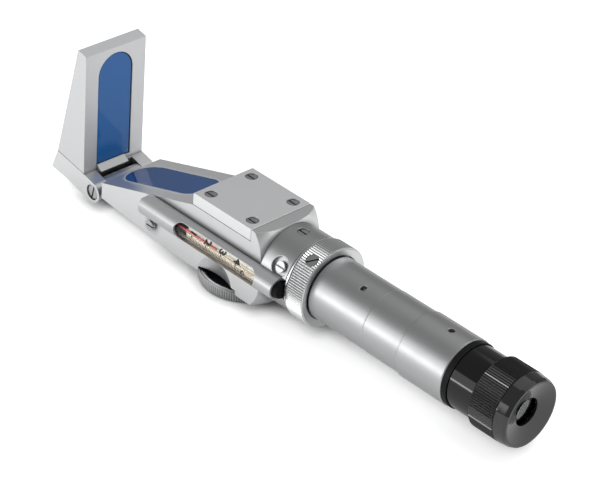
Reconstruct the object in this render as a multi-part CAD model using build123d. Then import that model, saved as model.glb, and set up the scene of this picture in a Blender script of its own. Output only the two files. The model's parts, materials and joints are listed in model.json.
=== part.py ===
from build123d import *
import os
from math import acos, asin, atan2, cos, degrees, hypot, pi, radians, sin, tan

# Hand-held analog refractometer with a thermometer on its side.
# Sizes are in millimetres and angles in degrees.
# The origin is on the optical axis, in the middle of the tube's clamp seat.
# +X runs to the eyepiece, +Z out of the top plate, and -Y is the thermometer's side.

# Fits between pieces
turn_gap = 0.05
seat_gap = 0.02
face_gap = 0.1
over = 4.0

# Prism head
head_width = 30.0
slope_run = 52.6
prism_angle = 17.4
nose_top_z = -5.45
nose_bottom_z = -12.4
belly_length = 38.9
head_bottom_z = -16.2
plate_length = 31.8
plate_thickness = 5.2
plate_edge_chamfer = 0.15
seam_chamfer = 0.3
dome_length = 6.0
dome_corner = 1.6
dome_drop = 0.3
dome_bulge_radius = 12.0
light_bore_radius = 6.0

# Top plate screws
plate_screw_inset_x = 4.5
plate_screw_inset_y = 4.7
plate_screw_head_radius = 2.5
plate_screw_head_height = 1.8
plate_screw_shank_radius = 1.25
plate_screw_length = 11.0
screw_slot_width = 0.7
screw_slot_depth = 0.6
screw_recess = 0.45

# Measuring prism and its bezel
window_radius = 8.5
window_front = 9.7
window_rear = 40.2
window_recess = 0.15
bezel_width = 0.8
bezel_depth = 1.0
prism_front_depth = 4.2
prism_rear_depth = 11.0

# Tube sections, from the clamp seat in to the inner tube and out to the collar
clamp_seat_length = 27.1
clamp_seat_radius = 12.7
tube_wall = 1.7
inner_tube_wall = 1.2
tube_neck_drop = 0.4
tube_middle_length = 17.5
tube_middle_rise = 0.15
tube_rear_length = 21.5
tube_rear_rise = 0.6
tube_bevel = 0.12
tube_rear_bevel = 0.3
collar_length = 13.6
collar_rise = 3.0
collar_bevel = 0.35
spigot_length = 11.1
spigot_wall = 2.2
inner_tube_entry = 2.0

# Collar and tube screws
top_screw_back = 7.7
top_screw_head_radius = 2.4
top_screw_head_height = 1.3
side_screw_back = 4.9
side_screw_angle = 62.0
side_screw_head_radius = 2.1
side_screw_room_radius = 3.9
side_screw_floor = 1.5
collar_screw_shank_radius = 1.1
collar_screw_bite = 1.1
set_screw_radius = 1.3
set_screw_depth = 1.2
front_set_screw_x = 5.05
front_set_screw_angle = 20.6
rear_set_screw_back = 8.7

# Adjusting ring and compensator
ring_length = 9.6
ring_rise = 3.7
ring_bevel = 0.25
ring_rim_width = 0.9
ring_groove_width = 0.45
ring_groove_depth = 0.5
ring_dish_depth = 0.5
ring_recess_gap = 0.4
ring_recess_depth = 2.2
knurl_depth = 0.4
knurl_pitch = 1.0
rim_drop = 0.05
ring_turn_limit = 45.0
ring_screw_back = 3.7
ring_screw_angle = 32.0
ring_screw_slot_turn = 45.0
ring_screw_head_radius = 2.6
ring_screw_head_height = 1.3
ring_screw_shank_radius = 1.25
ring_screw_bite = 1.2
slot_end_gap = 1.0
compensator_length = 8.0
compensator_wall = 1.9
compensator_glass_length = 4.6
compensator_lip = 0.9
compensator_wedge_angle = 8.0
compensator_ring_length = 1.0

# Objective
objective_x = 5.05
objective_cell_length = 8.0
objective_cell_wall = 2.2
objective_seat_wall = 1.2
objective_edge = 2.0
objective_crown = 1.3
objective_ring_length = 1.4

# Eyepiece
shoulder_ring_length = 2.4
shoulder_ring_drop = 0.3
barrel_length = 10.9
barrel_wall = 1.6
barrel_spigot_length = 14.4
barrel_spigot_wall = 1.6
barrel_stop_gap = 1.0
reticle_seat_wall = 0.8
reticle_thickness = 1.5
reticle_ring_length = 1.5
diopter_ring_length = 12.0
diopter_wall = 1.45
diopter_knurl_pitch = 0.95
diopter_knurl_depth = 0.35
diopter_bevel = 0.5
diopter_flange = 2.1
diopter_travel = 1.5
ocular_cell_length = 16.0
ocular_cell_wall = 2.1
ocular_neck_drop = 2.4
ocular_retainer_length = 1.2
retainer_lip = 0.6
eye_lens_seat_wall = 1.5
eye_lens_edge = 2.4
eye_lens_crown = 0.9
eye_lens_lip = 0.8
field_lens_seat_wall = 1.4
field_lens_edge = 1.8
field_lens_crown = 1.5
field_lens_ring_length = 1.2
eyecup_length = 5.1
eyecup_shoulder_drop = 0.45
eyecup_rim_drop = 1.05
eyecup_rim_length = 1.45
eyecup_lip = 0.7
eyecup_dish_depth = 2.0
eyecup_eye_radius = 5.5
eyecup_wall = 3.35
eyecup_retainer_room = 0.6
eyecup_cavity_depth = 2.3

# Range selector under the head
selector_back = 16.8
wheel_radius = 17.85
wheel_thickness = 4.8
wheel_recess = 1.0
wheel_room = 0.35
wheel_bevel = 0.5
wheel_rim_width = 1.3
wheel_dish_depth = 1.4
wheel_knurl_pitch = 1.0
pocket_height = 1.0
scoop_radius = 9.5
scoop_depth = 2.1
scoop_front = 1.2
bush_radius = 4.6
shaft_radius = 3.0
shaft_entry = 4.0
turret_radius = 10.0
turret_room = 0.5
turret_floor_z = -8.0
turret_end_gap = 0.3
turret_bore = 3.4
turret_bore_z = 1.5
turret_glass_length = 2.4
turret_glass_inset = 0.6
turret_wedge_step = 4.0
selector_settings = 3
selector_screw_head_radius = 2.4
selector_screw_head_height = 1.4
selector_screw_shank_radius = 1.1
selector_screw_length = 8.0
click_spring_length = 13.0
click_spring_width = 4.0
click_spring_thickness = 0.35
click_spring_radius = 12.0
click_bump_radius = 0.4
click_screw_radius = 0.9
click_screw_head_radius = 1.6
click_screw_head_height = 0.4
click_screw_length = 3.5

# Thermometer
thermometer_clear = 1.05
thermometer_radius = 4.45
thermometer_wall = 0.9
thermometer_front = 55.9
thermometer_rear = 17.3
thermometer_nose = 11.0
sight_front = 35.9
sight_rear = 8.7
sight_width = 6.9
sight_angle = 9.0
sight_depth = 0.6
scale_angle = 22.0
glass_wall = 0.5
glass_front_end = 7.2
glass_rear_end = 3.2
scale_front = 32.6
scale_set_back = 0.5
capillary_radius = 0.95
column_radius = 0.34
column_rise = 23.5
bulb_radius = 1.6
bulb_length = 4.0
cap_tip_radius = 2.9
cap_length = 2.2
cap_plug_length = 3.0
zero_screw_x = 53.9
zero_screw_z = -8.9
zero_screw_head_radius = 2.2
zero_screw_head_height = 1.8
zero_screw_shank_radius = 1.1
zero_screw_length = 6.8

# Cover and its hinge
pivot_reach = 5.9
pivot_drop = 7.3
hinge_ear_radius = 4.3
hinge_tongue_radius = 4.1
hinge_tongue_width = 18.0
hinge_tongue_drop = 4.0
hinge_slot_gap = 0.5
hinge_screw_head_radius = 2.9
hinge_screw_head_height = 1.5
hinge_screw_room = 0.35
hinge_screw_recess = 0.55
hinge_screw_slot_turn = 76.0
hinge_screw_shank_radius = 1.6
hinge_screw_bite = 4.5
film_gap = 0.12
cover_rise = 58.15
cover_end_thickness = 5.0
cover_end_lean = 0.9
cover_wedge_angle = 12.7
cover_end_chamfer = 0.5
seam_inner_rise = 5.75
seam_outer_rise = 8.85
arm_heel_x = 15.7
arm_heel_z = 1.15
arm_end_x = 25.1
arm_end_z = 0.15
cover_window_radius = 8.6
cover_window_top = 55.4
cover_window_bottom = 7.3
cover_glass_depth = 2.6
cover_glass_recess = 0.3
cover_glass_bevel = 0.5
lip_near_end = 8.3
lip_far_end = 5.8
lip_top_rise = 7.85
lip_toe_reach = 2.9
cover_screw_x = 13.5
cover_screw_inset_y = 5.5
cover_screw_head_radius = 2.4
cover_screw_head_height = 1.6
cover_screw_shank_radius = 1.25
cover_screw_length = 15.0

# Radii that follow from the clamp seat
inner_tube_radius = clamp_seat_radius - tube_wall
inner_tube_bore = inner_tube_radius - inner_tube_wall
tube_middle_radius = clamp_seat_radius + tube_middle_rise
tube_rear_radius = clamp_seat_radius + tube_rear_rise
collar_radius = clamp_seat_radius + collar_rise
spigot_radius = inner_tube_radius + spigot_wall
ring_radius = clamp_seat_radius + ring_rise
ring_recess_radius = clamp_seat_radius + ring_recess_gap
compensator_bore = inner_tube_bore - compensator_wall
objective_cell_bore = inner_tube_bore - objective_cell_wall
objective_seat_radius = inner_tube_bore - objective_seat_wall
shoulder_ring_radius = tube_rear_radius - shoulder_ring_drop
barrel_bore = inner_tube_radius - face_gap
barrel_radius = barrel_bore + barrel_wall
barrel_spigot_bore = inner_tube_radius - barrel_spigot_wall
reticle_radius = inner_tube_radius - reticle_seat_wall
diopter_radius = barrel_radius + diopter_wall
ocular_cell_bore = barrel_bore - ocular_cell_wall
ocular_neck_radius = barrel_bore - ocular_neck_drop
field_lens_radius = barrel_bore - field_lens_seat_wall
eye_lens_radius = ocular_neck_radius - eye_lens_seat_wall
eye_lens_stop = eye_lens_radius - eye_lens_lip
eyecup_shoulder_radius = diopter_radius - eyecup_shoulder_drop
eyecup_rim_radius = diopter_radius - eyecup_rim_drop
eyecup_cavity_radius = diopter_radius - eyecup_wall
ocular_retainer_radius = eyecup_cavity_radius - eyecup_retainer_room

# Stations along the optical axis
seat_front_x = -clamp_seat_length / 2
seat_rear_x = clamp_seat_length / 2
ring_rear_x = seat_front_x - face_gap
ring_front_x = ring_rear_x - ring_length
ring_floor_x = ring_rear_x - ring_recess_depth
ring_screw_x = ring_rear_x - ring_screw_back
tube_front_x = ring_floor_x + face_gap
collar_rear_x = ring_front_x - face_gap
collar_front_x = collar_rear_x - collar_length
spigot_rear_x = collar_front_x + spigot_length
inner_tube_front_x = collar_front_x + inner_tube_entry
plate_rear_x = collar_front_x - dome_length
plate_front_x = plate_rear_x - plate_length
selector_x = plate_rear_x - selector_back
head_front_x = plate_front_x - slope_run
middle_rear_x = seat_rear_x + tube_middle_length
tube_rear_x = middle_rear_x + tube_rear_length
barrel_shoulder_x = tube_rear_x + shoulder_ring_length
barrel_spigot_x = tube_rear_x - barrel_spigot_length
inner_tube_rear_x = barrel_spigot_x - face_gap
diopter_front_x = barrel_shoulder_x + barrel_length
diopter_rear_x = diopter_front_x + diopter_ring_length
flange_front_x = diopter_rear_x - diopter_flange
barrel_rear_x = flange_front_x - diopter_travel - 2 * face_gap
cell_rear_x = flange_front_x - face_gap
cell_front_x = cell_rear_x - ocular_cell_length
retainer_front_x = diopter_rear_x + face_gap
neck_rear_x = retainer_front_x + ocular_retainer_length
eyecup_rim_x = diopter_rear_x + eyecup_length

# Heights and planes of the head
head_side = head_width / 2
plate_bottom_z = nose_top_z + slope_run * tan(radians(prism_angle))
plate_top_z = plate_bottom_z + plate_thickness
wheel_top_z = head_bottom_z + wheel_recess
wheel_bottom_z = wheel_top_z - wheel_thickness
pocket_roof_z = wheel_top_z + pocket_height
slope_x = (cos(radians(prism_angle)), 0, sin(radians(prism_angle)))
slope_normal = (-sin(radians(prism_angle)), 0, cos(radians(prism_angle)))
nose = (head_front_x, 0, nose_top_z)
slope_plane = Plane(origin=nose, x_dir=slope_x, z_dir=slope_normal)
slope_section = Plane(origin=nose, x_dir=slope_x, z_dir=(0, -1, 0))
dome_top_z = plate_top_z - dome_drop
thermometer_bore = thermometer_radius - thermometer_wall
thermometer_y = -inner_tube_radius - thermometer_clear - thermometer_radius

# The hinge pivot, and the cover's inner face, upright while the cover stands open
pivot_x = head_front_x - pivot_reach
pivot_z = nose_top_z - pivot_drop
pivot = (pivot_x, pivot_z)
slope_height = pivot_drop * cos(radians(prism_angle)) - pivot_reach * sin(radians(prism_angle))
cover_face_x = pivot_x - slope_height - film_gap
cover_face = Plane(origin=(cover_face_x, 0, pivot_z), x_dir=(0, 1, 0), z_dir=(1, 0, 0))


# Shared forms

def turned(*outline):
    """A solid turned about the optical axis from points of x and radius."""
    return revolve(make_face(Polyline(*outline, close=True)), Axis.X)


def sleeve(start_x, end_x, outer, inner):
    """A plain tube about the optical axis."""
    return turned((start_x, inner), (end_x, inner), (end_x, outer), (start_x, outer))


def side_block(half_width, *outline):
    """A block of a side outline of x and z points, as wide on both sides."""
    face = Plane.XZ * make_face(Polyline(*outline, close=True))
    return extrude(face, half_width, both=True)


def bar_x(y, z, radius, start_x, end_x):
    """A round bar along X with its centre at y and z."""
    start = Plane(origin=(start_x, y, z), z_dir=(1, 0, 0))
    return extrude(start * Circle(radius), end_x - start_x)


def bar_z(radius, bottom, top):
    """A round bar on the selector's upright axis."""
    start = Plane(origin=(selector_x, 0, bottom))
    return extrude(start * Circle(radius), top - bottom)


def radial_plane(x, angle, radius):
    """A plane that faces out from the optical axis, at an angle from the top to the thermometer."""
    outward = (0, -sin(radians(angle)), cos(radians(angle)))
    origin = (x, radius * outward[1], radius * outward[2])
    return Plane(origin=origin, x_dir=(1, 0, 0), z_dir=outward)


def drill(plane, radius, depth, rise=over):
    """A round tool square to a plane, from a depth below it to a rise above it."""
    return plane * Pos(0, 0, (rise - depth) / 2) * Cylinder(radius, rise + depth)


def screw(plane, head_radius, head_height, shank_radius, length):
    """A slotted screw with the face of its head on a plane."""
    head = drill(plane, head_radius, head_height, 0)
    shank = drill(plane, shank_radius, length, 0)
    slot = plane * Box(2 * head_radius, screw_slot_width, 2 * screw_slot_depth)
    return head + shank - slot


def screw_room(plane, head_radius, head_height, shank_radius, length):
    """The counterbore and hole that a screw sits in."""
    head = drill(plane, head_radius + seat_gap, head_height)
    return head + drill(plane, shank_radius + seat_gap, length + face_gap)


def knurled_band(plane, radius, depth, pitch, length):
    """A disc with V grooves round its edge."""
    count = round(2 * pi * radius / pitch)
    step = 2 * pi / count
    points = []
    for tooth in range(count):
        crest = tooth * step
        root = crest + step / 2
        points.append((radius * cos(crest), radius * sin(crest)))
        points.append(((radius - depth) * cos(root), (radius - depth) * sin(root)))
    return extrude(plane * make_face(Polyline(*points, close=True)), length)


def lens(front_x, edge, crown, radius, clear):
    """A lens with a flat front, a straight edge and a rear face crowned over its clear part."""
    rear_x = front_x + edge
    foot = (rear_x, clear)
    top = (rear_x + crown, 0)
    sphere = (clear ** 2 + crown ** 2) / (2 * crown)
    bend = asin(clear / sphere) / 2
    middle = (top[0] - sphere * (1 - cos(bend)), sphere * sin(bend))
    rim = Polyline(top, (front_x, 0), (front_x, radius), (rear_x, radius), foot)
    return revolve(make_face(rim + ThreePointArc(foot, middle, top)), Axis.X)


def tangent_point(start, centre, radius, side):
    """Where a line from a point touches a circle, on one side of it or the other."""
    away_x = start[0] - centre[0]
    away_z = start[1] - centre[1]
    turn = atan2(away_z, away_x) + side * acos(radius / hypot(away_x, away_z))
    return (centre[0] + radius * cos(turn), centre[1] + radius * sin(turn))


def stadium(radius):
    """The round-ended outline of the prism window on the slope."""
    outline = SlotCenterToCenter(window_rear - window_front, 2 * radius)
    return slope_plane * Pos((window_front + window_rear) / 2, 0) * outline


def arch(radius, bottom, crown):
    """An outline with a flat foot and a round head, on the cover's inner face."""
    centre = crown - radius
    upright = Pos(0, (bottom + centre) / 2) * Rectangle(2 * radius, centre - bottom)
    return upright + Pos(0, centre) * Circle(radius)


# Prism head

def plate_screw_planes():
    height = plate_top_z - screw_recess
    for x in (plate_front_x + plate_screw_inset_x, plate_rear_x - plate_screw_inset_x):
        for y in (head_side - plate_screw_inset_y, plate_screw_inset_y - head_side):
            yield Plane(origin=(x, y, height))


def plate_screw_size():
    return (plate_screw_head_radius, plate_screw_head_height,
            plate_screw_shank_radius, plate_screw_length)


def head_envelope():
    """The turned rear end of the head, from its corners down to the collar."""
    corner = (plate_rear_x + dome_corner, hypot(head_side, plate_top_z))
    foot = (collar_front_x, collar_radius)
    front_x = pivot_x - over - hinge_ear_radius
    sides = Polyline(foot, (collar_front_x, 0), (front_x, 0), (front_x, corner[1] + over),
                     (corner[0], corner[1] + over), corner)
    return revolve(make_face(sides + RadiusArc(foot, corner, -dome_bulge_radius)), Axis.X)


def head_outline():
    return side_block(
        head_side,
        (head_front_x, nose_bottom_z), (head_front_x, nose_top_z),
        (plate_front_x, plate_bottom_z), (plate_rear_x, plate_bottom_z),
        (plate_rear_x, dome_top_z), (collar_front_x, dome_top_z),
        (collar_front_x, head_bottom_z), (plate_rear_x - belly_length, head_bottom_z))


def hinge_tongue():
    top = (head_front_x, nose_top_z - hinge_tongue_drop)
    bottom = (head_front_x, nose_bottom_z)
    upper = tangent_point(top, pivot, hinge_tongue_radius, 1)
    lower = tangent_point(bottom, pivot, hinge_tongue_radius, -1)
    web = side_block(hinge_tongue_width / 2, top, upper, pivot, lower, bottom)
    knuckle = Plane(origin=(pivot_x, 0, pivot_z), z_dir=(0, 1, 0)) * Cylinder(
        hinge_tongue_radius, hinge_tongue_width)
    return web + knuckle


def prism_blank(radius, top, front_depth, rear_depth):
    """The measuring prism's wedge, from a depth under the slope down to its base."""
    front = window_front - window_radius - bezel_width
    rear = window_rear + window_radius + bezel_width
    column = extrude(stadium(radius), -rear_depth - over)
    wedge = slope_section * make_face(Polyline(
        (front, -top), (rear, -top), (rear, -rear_depth), (front, -front_depth), close=True))
    return column & extrude(wedge, radius, both=True)


def thumb_scoops():
    """A shallow round hollow in each side, over the selector wheel."""
    ball = (scoop_radius ** 2 + scoop_depth ** 2) / (2 * scoop_depth)
    centre_y = head_side + ball - scoop_depth
    for side in (1, -1):
        yield Pos(selector_x - scoop_front, side * centre_y, head_bottom_z) * Sphere(ball)


def click_screw_plane():
    place_x = selector_x - click_spring_radius + click_spring_length - click_screw_head_radius
    height = pocket_roof_z - click_spring_thickness - click_screw_head_height
    return Plane(origin=(place_x, click_spring_radius / 2, height),
                 x_dir=(1, 0, 0), z_dir=(0, 0, -1))


def click_screw_size():
    return (click_screw_head_radius, click_screw_head_height,
            click_screw_radius, click_screw_length)


def zero_screw_plane():
    place_x = plate_rear_x - zero_screw_x
    place_y = -head_side - zero_screw_head_height
    return Plane(origin=(place_x, place_y, zero_screw_z), x_dir=(1, 0, 0), z_dir=(0, -1, 0))


def head_block():
    head = head_outline() & head_envelope()
    head += hinge_tongue()
    head -= bar_x(0, 0, light_bore_radius, slope_window_x(), selector_x)
    head -= bar_x(0, 0, inner_tube_bore, selector_x, collar_front_x + over)
    head += turned(
        (collar_front_x, inner_tube_bore), (collar_front_x, spigot_radius),
        (spigot_rear_x, spigot_radius), (spigot_rear_x, inner_tube_radius + seat_gap),
        (inner_tube_front_x, inner_tube_radius + seat_gap), (inner_tube_front_x, inner_tube_bore))
    head -= bar_z(turret_radius + turret_room, turret_floor_z, plate_bottom_z)
    head -= bar_z(bush_radius + seat_gap, pocket_roof_z, turret_floor_z)
    head -= bar_z(wheel_radius + wheel_room, wheel_bottom_z, pocket_roof_z)
    head -= prism_blank(window_radius + seat_gap, 0, prism_front_depth, prism_rear_depth)
    head -= extrude(stadium(window_radius + bezel_width + seat_gap), -bezel_depth)
    head -= bar_x(thermometer_y, 0, thermometer_radius + seat_gap, thermometer_front_x(),
                  collar_rear_x)
    for scoop in thumb_scoops():
        head -= scoop
    for plane in plate_screw_planes():
        head -= screw_room(plane, *plate_screw_size())
    for plane in hinge_screw_planes():
        head -= drill(plane, hinge_screw_shank_radius + seat_gap, hinge_screw_length())
    for plane in (top_screw_plane(), side_screw_plane()):
        head -= drill(plane, collar_screw_shank_radius + seat_gap, collar_screw_length(plane))
    head -= drill(click_screw_plane(), click_screw_radius + seat_gap, click_screw_length)
    head -= drill(zero_screw_plane(), zero_screw_shank_radius + seat_gap, zero_screw_length)
    return head


def slope_window_x():
    """Where the light leaves the measuring prism, on the head's own x."""
    return head_front_x + window_rear * cos(radians(prism_angle))


def top_plate():
    middle_x = (plate_front_x + plate_rear_x) / 2
    middle_z = plate_bottom_z + plate_thickness / 2
    plate = Pos(middle_x, 0, middle_z) * Box(plate_length, head_width, plate_thickness)
    rear_corners = plate.edges().filter_by(Axis.Z).sort_by(Axis.X)[-2:]
    plate = chamfer(plate.faces().sort_by(Axis.Z)[0].edges() + rear_corners, seam_chamfer)
    plate = chamfer(plate.faces().sort_by(Axis.Z)[-1].edges(), plate_edge_chamfer)
    for plane in plate_screw_planes():
        plate -= screw_room(plane, *plate_screw_size())
    return plate


def plate_screws():
    return [screw(plane, *plate_screw_size()) for plane in plate_screw_planes()]


def measuring_prism():
    base = prism_front_depth - seat_gap
    return prism_blank(window_radius, window_recess, base, prism_rear_depth - seat_gap)


def prism_bezel():
    ring = extrude(stadium(window_radius + bezel_width), -bezel_depth + seat_gap)
    return ring - extrude(stadium(window_radius + seat_gap), -bezel_depth)


def zero_screw():
    return screw(zero_screw_plane(), zero_screw_head_radius, zero_screw_head_height,
                 zero_screw_shank_radius, zero_screw_length)


# Range selector

def selector_wheel():
    band_bottom = Plane(origin=(selector_x, 0, wheel_bottom_z + wheel_bevel))
    core = wheel_radius - knurl_depth - rim_drop
    wheel = bar_z(core, wheel_bottom_z, wheel_top_z)
    wheel = chamfer(wheel.edges(), wheel_bevel)
    wheel += knurled_band(band_bottom, wheel_radius, knurl_depth, wheel_knurl_pitch,
                          wheel_thickness - 2 * wheel_bevel)
    wheel -= bar_z(core - wheel_rim_width, wheel_top_z - wheel_dish_depth, wheel_top_z)
    wheel += bar_z(bush_radius, wheel_top_z - wheel_dish_depth, wheel_top_z)
    wheel -= bar_z(shaft_radius + seat_gap, shaft_bottom_z(), wheel_top_z)
    return wheel - screw_room(selector_screw_plane(), *selector_screw_size())


def shaft_bottom_z():
    return wheel_bottom_z + screw_recess + selector_screw_head_height + face_gap


def shaft_top_z():
    return turret_floor_z + shaft_entry


def selector_screw_plane():
    height = wheel_bottom_z + screw_recess
    return Plane(origin=(selector_x, 0, height), x_dir=(1, 0, 0), z_dir=(0, 0, -1))


def selector_screw_size():
    return (selector_screw_head_radius, selector_screw_head_height,
            selector_screw_shank_radius, selector_screw_length)


def selector_screw():
    return screw(selector_screw_plane(), *selector_screw_size())


def selector_shaft():
    shaft = bar_z(shaft_radius, shaft_bottom_z(), shaft_top_z())
    room = drill(selector_screw_plane(), selector_screw_shank_radius + seat_gap,
                 selector_screw_length + face_gap)
    return shaft - room


def selector_bush():
    return (bar_z(bush_radius, pocket_roof_z, turret_floor_z)
            - bar_z(shaft_radius + turn_gap, pocket_roof_z, turret_floor_z))


def turret_plane(turn):
    """A plane on the turret's edge that faces out of one of its bores."""
    outward = (cos(radians(turn)), sin(radians(turn)), 0)
    origin = (selector_x + turret_radius * outward[0], turret_radius * outward[1], turret_bore_z)
    return Plane(origin=origin, x_dir=(0, 0, 1), z_dir=outward)


def prism_turret():
    bottom = turret_floor_z + face_gap
    turret = bar_z(turret_radius, bottom, plate_bottom_z - turret_end_gap)
    turret -= bar_z(shaft_radius + seat_gap, bottom, shaft_top_z())
    for setting in range(selector_settings):
        plane = turret_plane(setting * 180 / selector_settings)
        turret -= drill(plane, turret_bore, 2 * turret_radius)
    return turret


def turret_prisms():
    """One wedge of glass in each of the turret's bores, each wedge steeper than the last."""
    wedges = []
    for setting in range(selector_settings):
        plane = turret_plane(setting * 180 / selector_settings)
        glass = drill(plane, turret_bore - seat_gap, turret_glass_inset + turret_glass_length,
                      -turret_glass_inset)
        tilt = (setting + 1) * turret_wedge_step
        slice_off = Box(4 * turret_bore, 4 * turret_bore, over)
        slice_height = turret_bore * tan(radians(tilt)) + over / 2
        cut = Pos(0, 0, -turret_glass_inset) * Rot(0, tilt, 0) * Pos(0, 0, over / 2)
        wedges.append(glass - plane * Pos(0, 0, over / 2 - slice_height) * cut * slice_off)
    return wedges


def click_spring():
    """A leaf spring on the pocket's roof, with a bump towards the wheel."""
    front = selector_x - click_spring_radius
    middle_y = click_spring_radius / 2
    middle_z = pocket_roof_z - click_spring_thickness / 2
    leaf = Pos(front + click_spring_length / 2, middle_y, middle_z) * Box(
        click_spring_length, click_spring_width, click_spring_thickness)
    bump_z = wheel_top_z + face_gap + click_bump_radius
    bump = Pos(front + click_bump_radius, middle_y, bump_z) * Rot(90, 0, 0) * Cylinder(
        click_bump_radius, click_spring_width)
    leaf += bump
    return leaf - drill(click_screw_plane(), click_screw_radius + seat_gap, click_screw_length)


def click_screw():
    return screw(click_screw_plane(), *click_screw_size())


# Collar, adjusting ring and tube

def top_screw_plane():
    return radial_plane(collar_rear_x - top_screw_back, 0, collar_radius - screw_recess)


def side_screw_plane():
    return radial_plane(collar_rear_x - side_screw_back, side_screw_angle,
                        collar_radius - side_screw_floor + top_screw_head_height)


def collar_screw_length(plane):
    """From the head's face down to the bite in the head's spigot."""
    return hypot(plane.origin.Y, plane.origin.Z) - spigot_radius + collar_screw_bite


def rear_collar():
    collar = turned(
        (collar_front_x, spigot_radius + seat_gap), (collar_front_x, collar_radius),
        (collar_rear_x - collar_bevel, collar_radius),
        (collar_rear_x, collar_radius - collar_bevel),
        (collar_rear_x, inner_tube_radius + seat_gap),
        (spigot_rear_x, inner_tube_radius + seat_gap),
        (spigot_rear_x, spigot_radius + seat_gap))
    plane = top_screw_plane()
    collar -= screw_room(plane, top_screw_head_radius, top_screw_head_height,
                         collar_screw_shank_radius, collar_screw_length(plane))
    plane = side_screw_plane()
    collar -= drill(plane, side_screw_room_radius, top_screw_head_height)
    collar -= drill(plane, collar_screw_shank_radius + seat_gap, collar_screw_length(plane))
    return collar - bar_x(thermometer_y, 0, thermometer_radius + seat_gap, collar_front_x,
                          collar_rear_x)


def collar_screws():
    top = top_screw_plane()
    side = side_screw_plane()
    return [
        screw(top, top_screw_head_radius, top_screw_head_height, collar_screw_shank_radius,
              collar_screw_length(top)),
        screw(side, side_screw_head_radius, top_screw_head_height, collar_screw_shank_radius,
              collar_screw_length(side))]


def ring_screw_planes():
    for angle in (ring_screw_angle, ring_screw_angle + 180):
        face = radial_plane(ring_screw_x, angle, ring_radius - knurl_depth)
        yield face * Rot(0, 0, ring_screw_slot_turn)


def ring_screw_size():
    length = ring_radius - knurl_depth - compensator_radius() + ring_screw_bite
    return (ring_screw_head_radius, ring_screw_head_height, ring_screw_shank_radius, length)


def compensator_radius():
    return inner_tube_bore - turn_gap


def drive_slots():
    """The two slots in the inner tube that let the ring's screws turn with the ring."""
    half_width = ring_screw_shank_radius + face_gap
    half_turn = ring_turn_limit + degrees(asin(half_width / inner_tube_bore)) + slot_end_gap
    outline = make_face(Polyline(
        (ring_screw_x - half_width, inner_tube_bore - over),
        (ring_screw_x + half_width, inner_tube_bore - over),
        (ring_screw_x + half_width, inner_tube_radius + over),
        (ring_screw_x - half_width, inner_tube_radius + over), close=True))
    sweep = revolve(outline, Axis.X, 2 * half_turn)
    for angle in (ring_screw_angle, ring_screw_angle + 180):
        yield Rot(90 + angle - half_turn, 0, 0) * sweep


def inner_tube():
    tube = sleeve(inner_tube_front_x, inner_tube_rear_x, inner_tube_radius, inner_tube_bore)
    for slot in drive_slots():
        tube -= slot
    return tube - drill(front_set_screw_plane(), set_screw_radius + seat_gap, set_screw_reach())


def adjusting_ring():
    core = ring_radius - knurl_depth - rim_drop
    bore = inner_tube_radius + turn_gap
    groove_x = ring_front_x + ring_rim_width
    band_x = groove_x + ring_groove_width
    ring = turned(
        (ring_front_x, bore), (ring_front_x, core - ring_bevel), (ring_front_x + ring_bevel, core),
        (groove_x, core), (groove_x, core - ring_groove_depth),
        (band_x, core - ring_groove_depth), (band_x, core),
        (ring_rear_x - ring_bevel, core), (ring_rear_x, core - ring_bevel),
        (ring_rear_x - ring_dish_depth, ring_recess_radius), (ring_floor_x, ring_recess_radius),
        (ring_floor_x, bore))
    band_start = Plane(origin=(band_x, 0, 0), z_dir=(1, 0, 0))
    band = knurled_band(band_start, ring_radius, knurl_depth, knurl_pitch,
                        ring_rear_x - ring_bevel - band_x)
    ring += band - bar_x(0, 0, core - ring_bevel, band_x, ring_rear_x)
    for plane in ring_screw_planes():
        ring -= screw_room(plane, *ring_screw_size())
    return ring


def ring_drive_screws():
    return [screw(plane, *ring_screw_size()) for plane in ring_screw_planes()]


def compensator_front_x():
    return ring_screw_x - compensator_length / 2


def compensator_rear_x():
    return ring_screw_x + compensator_length / 2


def compensator_glass_x():
    return compensator_front_x() + compensator_ring_length + face_gap


def compensator_cell():
    """The inner cell that turns with the adjusting ring."""
    stop_x = compensator_glass_x() + compensator_glass_length + face_gap
    cell = turned(
        (compensator_front_x(), compensator_bore), (compensator_front_x(), compensator_radius()),
        (compensator_rear_x(), compensator_radius()),
        (compensator_rear_x(), compensator_bore - compensator_lip),
        (stop_x, compensator_bore - compensator_lip), (stop_x, compensator_bore))
    for plane in ring_screw_planes():
        cell -= drill(plane, ring_screw_shank_radius + seat_gap, ring_radius)
    return cell


def compensator_prism():
    """A glass cylinder with its front face cut to a wedge."""
    start = compensator_glass_x()
    radius = compensator_bore - seat_gap
    glass = bar_x(0, 0, radius, start, start + compensator_glass_length)
    front = Pos(start, 0, -radius) * Rot(0, compensator_wedge_angle, 0)
    room = Box(over, 2 * over + 2 * radius, 4 * radius,
               align=(Align.MAX, Align.CENTER, Align.CENTER))
    return glass - front * room


def compensator_ring():
    return sleeve(compensator_front_x(), compensator_glass_x() - face_gap,
                  compensator_bore - seat_gap, compensator_bore - compensator_lip)


def front_set_screw_plane():
    return radial_plane(front_set_screw_x, front_set_screw_angle, clamp_seat_radius)


def rear_set_screw_plane():
    return radial_plane(tube_rear_x - rear_set_screw_back, 0, tube_rear_radius)


def set_screw_reach():
    """Through the tube and nearly through the inner tube."""
    return tube_wall + inner_tube_wall - face_gap


def tube_front():
    """The section with the clamp seat, and a neck that runs into the ring's recess."""
    tube = turned(
        (tube_front_x, inner_tube_radius + seat_gap),
        (tube_front_x, clamp_seat_radius - tube_neck_drop),
        (seat_front_x, clamp_seat_radius - tube_neck_drop), (seat_front_x, clamp_seat_radius),
        (seat_rear_x, clamp_seat_radius), (seat_rear_x, inner_tube_radius + seat_gap))
    return tube - drill(front_set_screw_plane(), set_screw_radius + seat_gap, set_screw_reach())


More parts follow.
